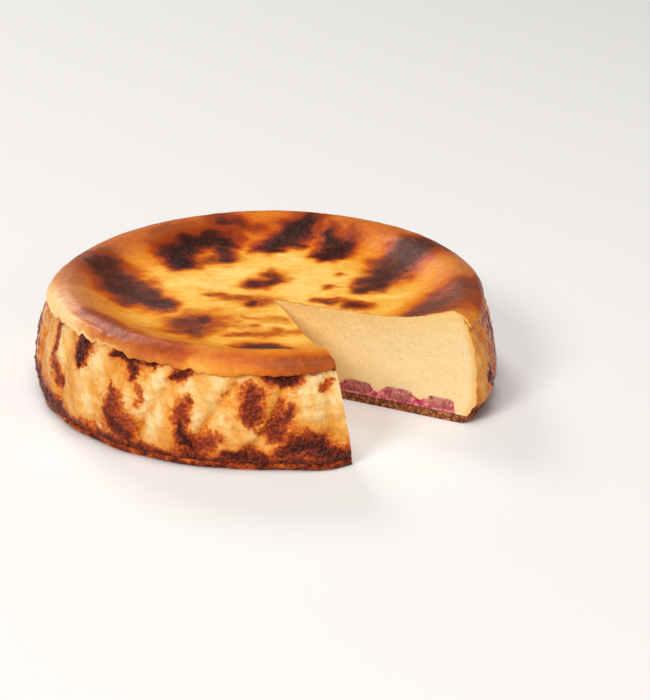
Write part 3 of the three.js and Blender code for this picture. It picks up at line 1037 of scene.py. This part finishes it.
def fruit_compote():
    """Moist crimson fruit with paler pink flesh in it."""
    made = Recipe("fruit_compote")
    cloud = made.noise(3.2, 4, 0.6, 0.5)
    colour = made.ramp(
        cloud,
        (
            (0.34, paint(164, 24, 66)),
            (0.48, paint(206, 74, 98)),
            (0.58, paint(236, 150, 144)),
            (0.7, paint(176, 34, 70)),
        ),
    )
    return made.finish(
        Base_Color=colour, Roughness=0.25, Normal=made.relief(made.noise(1.5, 3), 0.4),
        Coat_Weight=0.3, Coat_Roughness=0.1,
        Subsurface_Weight=0.15, Subsurface_Radius=(1.0, 0.2, 0.2), Subsurface_Scale=0.003,
    )


def poached_pear():
    """Moist pear flesh with upright fibres, soaked crimson towards the bottom."""
    made = Recipe("poached_pear")
    streaks = made.noise(1.2, 4, 0.65, 0.8, made.stretched(1, 1, 0.4))
    cloud = made.noise(4, 2)
    height = made.add("ShaderNodeSeparateXYZ", {"Vector": made.place}).outputs["Z"]
    mixed = made.total(made.math("MULTIPLY", streaks, 0.6), made.math("MULTIPLY", cloud, 0.4))
    colour = made.ramp(
        mixed,
        (
            (0.34, paint(128, 30, 42)),
            (0.45, paint(168, 76, 72)),
            (0.56, paint(206, 138, 120)),
            (0.7, paint(146, 44, 54)),
        ),
    )
    colour = made.mix(made.blend_in(height, 0.0045, 0.0085, 0.75, 0.0), colour, paint(150, 22, 50))
    return made.finish(
        Base_Color=colour, Roughness=0.3, Normal=made.relief(streaks, 0.35),
        Coat_Weight=0.2, Coat_Roughness=0.15,
        Subsurface_Weight=0.15, Subsurface_Radius=(1.0, 0.3, 0.2), Subsurface_Scale=0.003,
    )


def biscuit_crumb():
    """Dull crumbs from tan to dark brown."""
    made = Recipe("biscuit_crumb")
    grains = made.cells(1.5)
    cloud = made.noise(3, 4)
    shade = made.total(made.math("MULTIPLY", grains, 0.7), made.math("MULTIPLY", cloud, 0.5))
    colour = made.ramp(
        shade,
        ((0.25, paint(214, 150, 78)), (0.5, paint(166, 94, 42)), (0.75, paint(104, 50, 22))),
    )
    return made.finish(Base_Color=colour, Roughness=0.8, Normal=made.relief(made.noise(0.9, 4), 0.5))


# The studio


def pale_floor():
    """A plain floor, 6 metres each way from the middle."""
    bm = bmesh.new()
    bmesh.ops.create_grid(bm, x_segments=1, y_segments=1, size=6)
    mesh = bpy.data.meshes.new("floor")
    bm.to_mesh(mesh)
    bm.free()
    floor = bpy.data.objects.new("floor", mesh)
    bpy.context.scene.collection.objects.link(floor)
    made = Recipe("floor_paint")
    white = made.finish(Base_Color=paint(236, 234, 232), Roughness=0.7, Specular_IOR_Level=0.2)
    mesh.materials.append(white)


def soft_light(name, place, aim, size, power, colour=(1, 1, 1)):
    """A round light of that size in metres and power in watts, turned towards its aim."""
    data = bpy.data.lights.new(name, "AREA")
    data.shape = "DISK"
    data.size = size
    data.energy = power
    data.color = colour
    lamp = bpy.data.objects.new(name, data)
    lamp.location = place
    lamp.rotation_euler = (Vector(aim) - Vector(place)).to_track_quat("-Z", "Y").to_euler()
    bpy.context.scene.collection.objects.link(lamp)


def studio():
    """A faint even glow and five soft lights, the strongest from the front left."""
    world = bpy.data.worlds.new("studio")
    world.use_nodes = True
    world.node_tree.nodes["Background"].inputs["Color"].default_value = (1, 1, 1, 1)
    world.node_tree.nodes["Background"].inputs["Strength"].default_value = 0.05
    bpy.context.scene.world = world
    middle = (0, 0, 0.03)
    soft_light("key", (-1.5, -1.9, 1.9), middle, 1.1, 48, (1, 0.98, 0.95))
    soft_light("overhead", (0, -0.3, 2.4), middle, 1.6, 32)
    soft_light("front", (0.5, -2.3, 1.0), middle, 1.4, 10)
    soft_light("back", (-0.9, 1.9, 1.6), middle, 0.9, 22)
    soft_light("right", (1.7, -0.9, 0.9), middle, 0.9, 4, (1, 0.97, 0.93))
    bpy.context.scene.view_settings.view_transform = "Standard"


def photo_camera():
    data = bpy.data.cameras.new("camera")
    data.sensor_width = CAMERA_FRAME
    data.lens = CAMERA_LENS
    camera = bpy.data.objects.new("camera", data)
    camera.location = CAMERA_PLACE
    camera.rotation_euler = (math.pi / 2 - CAMERA_PITCH, 0, 0)
    bpy.context.scene.collection.objects.link(camera)
    bpy.context.scene.camera = camera


photo_camera()
pale_floor()
studio()

side = baked_side()
cheese = cheese_body([burnt_skin(), side, cut_filling()])
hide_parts("cheesecake")
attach(cheese, "root")

compote = compote_layer(fruit_compote())
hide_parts("fruit_layer")
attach(compote, "root")

base = crumb_base(biscuit_crumb(), side)
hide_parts("biscuit_base")
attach(base, "root")

pear = poached_pear()
for index in range(2 * PIECES_PER_CUT):
    cut = (FRONT_CUT, RIGHT_CUT)[index // PIECES_PER_CUT]
    piece = pear_slice(index + 1, cut, index % PIECES_PER_CUT, pear)
    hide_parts(f"pear_piece_{index + 1}")
    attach(piece, "root")
